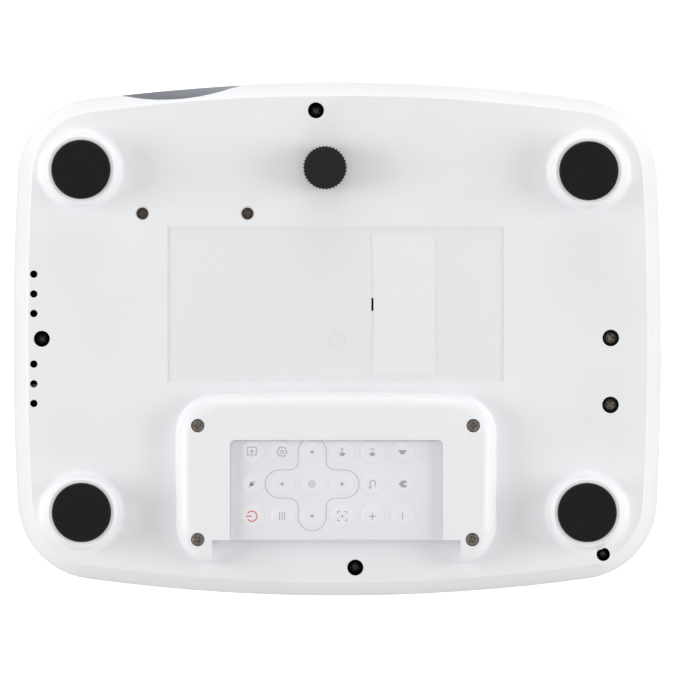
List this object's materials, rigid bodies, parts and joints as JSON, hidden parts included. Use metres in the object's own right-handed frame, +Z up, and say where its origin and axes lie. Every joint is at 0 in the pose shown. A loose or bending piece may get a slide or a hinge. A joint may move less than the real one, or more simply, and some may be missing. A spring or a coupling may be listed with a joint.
{
  "type": "portable projector with disc drive",
  "caption": "White portable projector with a side disc tray, a recessed lens, rubber feet, an adjustable foot and a card remote docked under its base.",
  "frame": {"origin": "centre of the footprint, on the plane that the rubber feet stand on", "axes": "+Z up; the lens looks along -Y; the disc tray slides out along +X"},
  "size_m": [0.226, 0.1795, 0.098],
  "materials": {
    "housing_white": "moulded ABS, satin white",
    "trim_grey": "smooth moulded trim, blue-grey",
    "window_black": "smoked infrared window",
    "rubber_black": "moulded rubber, matte",
    "knob_black": "moulded plastic, knurled",
    "brass": "turned brass, a little dulled",
    "screw_steel": "zinc-plated steel",
    "sticker": "blank coated paper",
    "remote_body": "moulded ABS",
    "remote_film": "embossed polyester film",
    "cell_steel": "plated steel",
    "lens_black": "black glass-filled plastic",
    "glass": "coated optical glass",
    "inner_black": "black moulded plastic",
    "lcd": "panel glass",
    "aluminium": "extruded aluminium",
    "sheet_steel": "galvanised sheet steel",
    "rod_steel": "ground steel",
    "tray_black": "black moulded plastic",
    "circuit_board": "green solder mask",
    "socket_metal": "plated steel shells"
  },
  "bodies": {
    "root": {"bottom_shell": "housing_white", "top_shell": "housing_white", "lens_bezel": "trim_grey", "front_ir_window": "window_black", "exhaust_grille": "housing_white", "rubber_feet": "rubber_black", "housing_screws": "screw_steel", "drive_bracket_screws": "screw_steel", "mounting_inserts": "brass", "label_sticker": "sticker", "adjuster_insert": "brass", "remote_dock_cover": "housing_white", "dock_cover_screws": "screw_steel", "lens_tube": "lens_black", "engine_case": "inner_black", "lcd_panel": "lcd", "fresnel_lens": "glass", "condenser_lens": "glass", "led_module": "circuit_board", "heatsink": "aluminium", "fan_frame": "inner_black", "drive_bracket": "sheet_steel", "drive_chassis": "sheet_steel", "main_board": "circuit_board", "power_board": "circuit_board", "rear_sockets": "socket_metal", "ac_inlet": "inner_black", "speakers": "inner_black", "key_board": "circuit_board", "tact_switches": "inner_black"},
    "stud": {"adjuster_stud": "screw_steel"},
    "knob": {"adjuster_knob": "knob_black"},
    "tray": {"disc_tray": "tray_black", "tray_bezel": "housing_white", "spindle_motor": "sheet_steel", "sled_guide_rods": "rod_steel", "sled_motor": "sheet_steel"},
    "rail_front": {"tray_rail_front": "sheet_steel"},
    "rail_rear": {"tray_rail_rear": "sheet_steel"},
    "spindle": {"spindle_hub": "inner_black"},
    "sled": {"pickup_sled": "aluminium", "pickup_lens": "glass"},
    "lead_screw": {"sled_lead_screw": "rod_steel"},
    "eject": {"eject_button": "housing_white"},
    "focus": {"focus_ring": "lens_black"},
    "lens_cell": {"lens_cell": "lens_black", "lens_elements": "glass"},
    "fan": {"fan_impeller": "inner_black"},
    "remote": {"remote_case": "remote_body", "remote_keypad": "remote_film", "remote_battery_holder": "remote_body", "coin_cell": "cell_steel"},
    "power_key": {"power_button": "housing_white"},
    "ok_key": {"ok_button": "housing_white"},
    "source_key": {"source_button": "housing_white"},
    "right_key": {"right_button": "housing_white"},
    "up_key": {"up_button": "housing_white"},
    "left_key": {"left_button": "housing_white"},
    "down_key": {"down_button": "housing_white"}
  },
  "joints": [
    {"name": "tray_slide", "type": "slide", "parent": "root", "child": "tray", "axis": [1, 0, 0], "range_m": [0, 0.127]},
    {"name": "rail_front_slide", "type": "slide", "parent": "root", "child": "rail_front", "axis": [1, 0, 0], "range_m": [0, 0.064]},
    {"name": "rail_rear_slide", "type": "slide", "parent": "root", "child": "rail_rear", "axis": [1, 0, 0], "range_m": [0, 0.064]},
    {"name": "spindle_spin", "type": "hinge", "parent": "tray", "child": "spindle", "pos_m": [0.0465, 0, 0.063], "axis": [0, 0, 1], "continuous": true},
    {"name": "sled_slide", "type": "slide", "parent": "tray", "child": "sled", "axis": [-0.7071, -0.7071, 0], "range_m": [0, 0.033]},
    {"name": "lead_screw_turn", "type": "hinge", "parent": "tray", "child": "lead_screw", "pos_m": [0.05895, -0.01245, 0.061], "axis": [-0.7071, -0.7071, 0], "range_deg": [0, 3961]},
    {"name": "eject_press", "type": "slide", "parent": "tray", "child": "eject", "axis": [-1, 0, 0], "range_m": [0, 0.0006], "stiffness_N_per_m": 500},
    {"name": "stud_slide", "type": "slide", "parent": "root", "child": "stud", "axis": [0, 0, -1], "range_m": [0, 0.01]},
    {"name": "knob_turn", "type": "hinge", "parent": "stud", "child": "knob", "pos_m": [-0.00435, -0.0594, 0.005], "axis": [0, 0, 1], "range_deg": [0, 3601]},
    {"name": "focus_turn", "type": "hinge", "parent": "root", "child": "focus", "pos_m": [-0.0555, -0.078, 0.044], "axis": [0, -1, 0], "range_deg": [-60, 60]},
    {"name": "lens_focus_slide", "type": "slide", "parent": "root", "child": "lens_cell", "axis": [0, -1, 0], "range_m": [-0.00198, 0.00198]},
    {"name": "fan_spin", "type": "hinge", "parent": "root", "child": "fan", "pos_m": [-0.101, 0.035, 0.057], "axis": [1, 0, 0], "continuous": true},
    {"name": "remote_slide", "type": "slide", "parent": "root", "child": "remote", "axis": [0, 1, 0], "range_m": [0, 0.065]},
    {"name": "power_key_press", "type": "slide", "parent": "root", "child": "power_key", "axis": [0, 0, -1], "range_m": [0, 0.0005], "stiffness_N_per_m": 400},
    {"name": "ok_key_press", "type": "slide", "parent": "root", "child": "ok_key", "axis": [0, 0, -1], "range_m": [0, 0.0005], "stiffness_N_per_m": 400},
    {"name": "source_key_press", "type": "slide", "parent": "root", "child": "source_key", "axis": [0, 0, -1], "range_m": [0, 0.0005], "stiffness_N_per_m": 400},
    {"name": "right_key_press", "type": "slide", "parent": "root", "child": "right_key", "axis": [0, 0, -1], "range_m": [0, 0.0005], "stiffness_N_per_m": 400},
    {"name": "up_key_press", "type": "slide", "parent": "root", "child": "up_key", "axis": [0, 0, -1], "range_m": [0, 0.0005], "stiffness_N_per_m": 400},
    {"name": "left_key_press", "type": "slide", "parent": "root", "child": "left_key", "axis": [0, 0, -1], "range_m": [0, 0.0005], "stiffness_N_per_m": 400},
    {"name": "down_key_press", "type": "slide", "parent": "root", "child": "down_key", "axis": [0, 0, -1], "range_m": [0, 0.0005], "stiffness_N_per_m": 400}
  ],
  "couplings": [
    {"joint": "rail_front_slide", "follows": "tray_slide", "ratio": 0.5},
    {"joint": "rail_rear_slide", "follows": "tray_slide", "ratio": 0.5},
    {"joint": "lead_screw_turn", "follows": "sled_slide", "rad_per_m": 2094.4},
    {"joint": "knob_turn", "follows": "stud_slide", "rad_per_m": 6283.2},
    {"joint": "focus_turn", "follows": "lens_focus_slide", "rad_per_m": 526.32}
  ]
}
